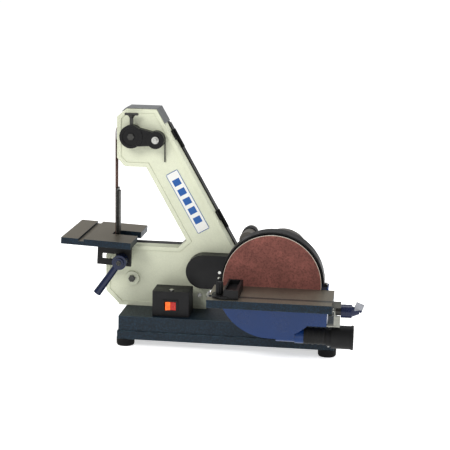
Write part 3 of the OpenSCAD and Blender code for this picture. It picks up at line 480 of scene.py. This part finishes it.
def handle_paint():
    """Clamp handle: a dark spacer, a navy hub and a light grey paddle at its outer end."""
    s = Shade("handle_navy")
    x = s.axis("X")
    n = s.noise(500, 3)
    navy, grey, dark = lin(10, 24, 62), lin(150, 152, 158), lin(40, 38, 34)
    colour = s.ramp(n, [(0.3, scale3(navy, 0.85)), (0.7, scale3(navy, 1.2))])
    beyond = s.math("GREATER_THAN", x, PADDLE_X)
    above = s.math("GREATER_THAN", s.axis("Z"), PADDLE_Z)
    tip = s.math("MULTIPLY", beyond, above)
    colour = s.mix(tip, colour, grey)
    s.colour(s.mix(s.math("LESS_THAN", x, SPACER_END_X), colour, dark))
    s.rough(s.span(n, 0.3, 0.7, 0.22, 0.4))
    s.bump(n, 0.00006, 0.6)
    return s.m


special = {
    "disc_table_handle": handle_paint(),
    "abrasive_disc": abrasive("disc_grit", (132, 84, 76), DISC),
    "dust_port": paint("port_charcoal", (28, 28, 29), 0.55, spread=0.08, grain=900, depth=0.0002),
    "dust_tube": paint("hose_charcoal", (38, 38, 38), 0.6, spread=0.08, grain=900, depth=0.0002),
    "motor_mounts": paint("mount_black", (18, 18, 20), 0.45, spread=0.12),
    "upper_axle": slots["dark_steel"],
    "miter_bar": steel("bar_steel", (104, 104, 100), 0.4, (12, 900, 40)),
    "disc_trunnions": steel("trunnion_steel", (92, 94, 88), 0.42),
    # Lighter edges on the capacitor: partly wear, partly a painted highlight.
    "capacitor": paint("capacitor_can", (100, 97, 92), 0.4, spread=0.1, grain=300, depth=0.0001,
                       edge_wear_and_painted_light=(140, 138, 132)),
    "top_guard": steel("guard_sheet", (150, 152, 154), 0.4, (20, 900, 20), 0.3),
}


def finish_node(name):
    """Gives one CAD node its own material, or the one of its slot."""
    o = nodes[name]
    slot = next(p["material_slot"] for p in record["subparts"] if p["node"] == name)
    m = special.get(name) or slots[slot]
    o.data.materials.clear()
    o.data.materials.append(m)


for name in nodes:
    finish_node(name)


# ------------------------------------------------------------------ detail pieces

def turned(name, profile, at, direction, flutes=0, depth=0.0, fluted=None, steps=96):
    """A turned piece: profile is (distance along, radius) in mm, with cosine flutes between two distances."""
    frame_z = Vector(direction).normalized()
    side = frame_z.orthogonal().normalized()
    other = frame_z.cross(side)
    bm = bmesh.new()
    rings = []
    for z, r in profile:
        ring = []
        for k in range(steps):
            a = 2 * math.pi * k / steps
            q = r
            if flutes and fluted[0] <= z <= fluted[1]:
                q -= depth * (0.5 + 0.5 * math.cos(flutes * a)) ** 2
            p = Vector(at) + frame_z * z * MM + (side * math.cos(a) + other * math.sin(a)) * q * MM
            ring.append(bm.verts.new(p))
        rings.append(ring)
    for low, high in zip(rings, rings[1:]):
        for k in range(steps):
            bm.faces.new((low[k], low[(k + 1) % steps], high[(k + 1) % steps], high[k]))
    bm.faces.new(list(reversed(rings[0])))
    bm.faces.new(rings[-1])
    for f in bm.faces:
        f.smooth = len(f.verts) == 4
    me = bpy.data.meshes.new(name)
    bm.to_mesh(me)
    bm.free()
    o = bpy.data.objects.new(name, me)
    scene.collection.objects.link(o)
    return o


def body_riding(node):
    return next(b for b, held in record["behaviour"]["bodies"].items() if node in held)


def fluted_knob():
    """Grip of the mitre clamp: fluted barrel with a domed cap, a collar and its stud."""
    lo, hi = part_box("miter_knob")
    h = (hi[2] - lo[2]) / MM
    r = (hi[0] - lo[0]) / MM / 2
    grip = 11.6
    profile = [(0, 2.2), (0.3, 2.45), (grip, 2.45), (grip, r - 1.4), (grip + 2.4, r - 1.1),
               (grip + 3.2, r - 0.9), (grip + 4.4, r - 0.1), (grip + 5.6, r), (h - 4.2, r),
               (h - 2.4, r - 0.5), (h - 1.0, r - 1.9),
               (h - 0.3, r - 4.0), (h, r - 6.4)]
    o = turned("miter_knob_grip", profile, ((lo[0] + hi[0]) / 2, (lo[1] + hi[1]) / 2, lo[2]), (0, 0, 1),
               12, 1.1, (grip + 4.0, h - 2.0))
    o.data.materials.append(slots["black_plastic"])
    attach(o, body_riding("miter_knob"))
    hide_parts("miter_knob")


def socket_screw():
    """Cap screw sunk in the front of the belt table lever's hub."""
    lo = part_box("belt_table_lever")[0]
    x, z = CLAMP
    profile = [(0, 5.6), (1.6, 5.6), (2.2, 5.1), (2.4, 4.4), (2.4, 2.9), (0.9, 2.6), (0.8, 0.4)]
    o = turned("lever_cap_screw", profile, (x, lo[1], z), (0, -1, 0), steps=48)
    o.data.materials.append(slots["dark_steel"])
    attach(o, body_riding("belt_table_lever"))


def sanding_belt():
    """The belt as one band round its three wheels."""
    wheels = []
    for name in ("upper_idler_wheel", "lower_idler_wheel", "drive_wheel"):
        lo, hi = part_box(name)
        wheels.append(((lo[0] + hi[0]) / 2, (lo[2] + hi[2]) / 2, (hi[0] - lo[0]) / 2))
    low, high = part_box("abrasive_belt")
    outer = wheels[0][0] - wheels[0][2] - low[0]
    inner = 0.00005
    path = []
    last = None
    for k in range(361):
        a = 2 * math.pi * k / 360
        n = (math.cos(a), math.sin(a))
        best = max(range(3), key=lambda i: wheels[i][0] * n[0] + wheels[i][1] * n[1] + wheels[i][2])
        x, z, r = wheels[best]
        here = (x + r * n[0], z + r * n[1])
        if last is not None and best != last[0]:
            for j in range(1, 60):
                t = j / 60
                old = last[1]
                path.append((old[0] + (here[0] - old[0]) * t, old[1] + (here[1] - old[1]) * t, last[2]))
        if k < 360:
            path.append((here[0], here[1], n))
        last = (best, here, n)
    e = 0.0002
    section = [(inner, low[1] + e), (inner, high[1] - e), (inner + e, high[1]), (outer - e, high[1]),
               (outer, high[1] - e), (outer, low[1] + e), (outer - e, low[1]), (inner + e, low[1])]
    bm = bmesh.new()
    rings = [[bm.verts.new((x + n[0] * g, y, z + n[1] * g)) for g, y in section] for x, z, n in path]
    for k, ring in enumerate(rings):
        after = rings[(k + 1) % len(rings)]
        for i in range(8):
            bm.faces.new((ring[i], ring[(i + 1) % 8], after[(i + 1) % 8], after[i]))
    bmesh.ops.recalc_face_normals(bm, faces=bm.faces)
    me = bpy.data.meshes.new("sanding_belt")
    bm.to_mesh(me)
    bm.free()
    o = bpy.data.objects.new("sanding_belt", me)
    scene.collection.objects.link(o)
    me.materials.append(slots["abrasive"])
    x, z, r = wheels[0]
    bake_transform(o)
    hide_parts("abrasive_belt")


sanding_belt()
fluted_knob()
socket_screw()


# ------------------------------------------------------------------ floor

bm = bmesh.new()
floor_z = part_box("rubber_feet")[0][2]
bmesh.ops.create_grid(bm, x_segments=2, y_segments=2, size=FLOOR_HALF)
me = bpy.data.meshes.new("floor")
bm.to_mesh(me)
bm.free()
floor = bpy.data.objects.new("floor", me)
floor.location = (0, 0, floor_z)
scene.collection.objects.link(floor)
s = Shade("floor_white")
s.colour(s.ramp(s.noise(2, 2), [(0.3, (0.84, 0.84, 0.84)), (0.7, (0.87, 0.87, 0.87))]))
s.rough(0.9)
s.p.inputs["Specular IOR Level"].default_value = 0.0
s.p.inputs["Emission Color"].default_value = (1, 1, 1, 1)
s.p.inputs["Emission Strength"].default_value = 0.62
me.materials.append(s.m)
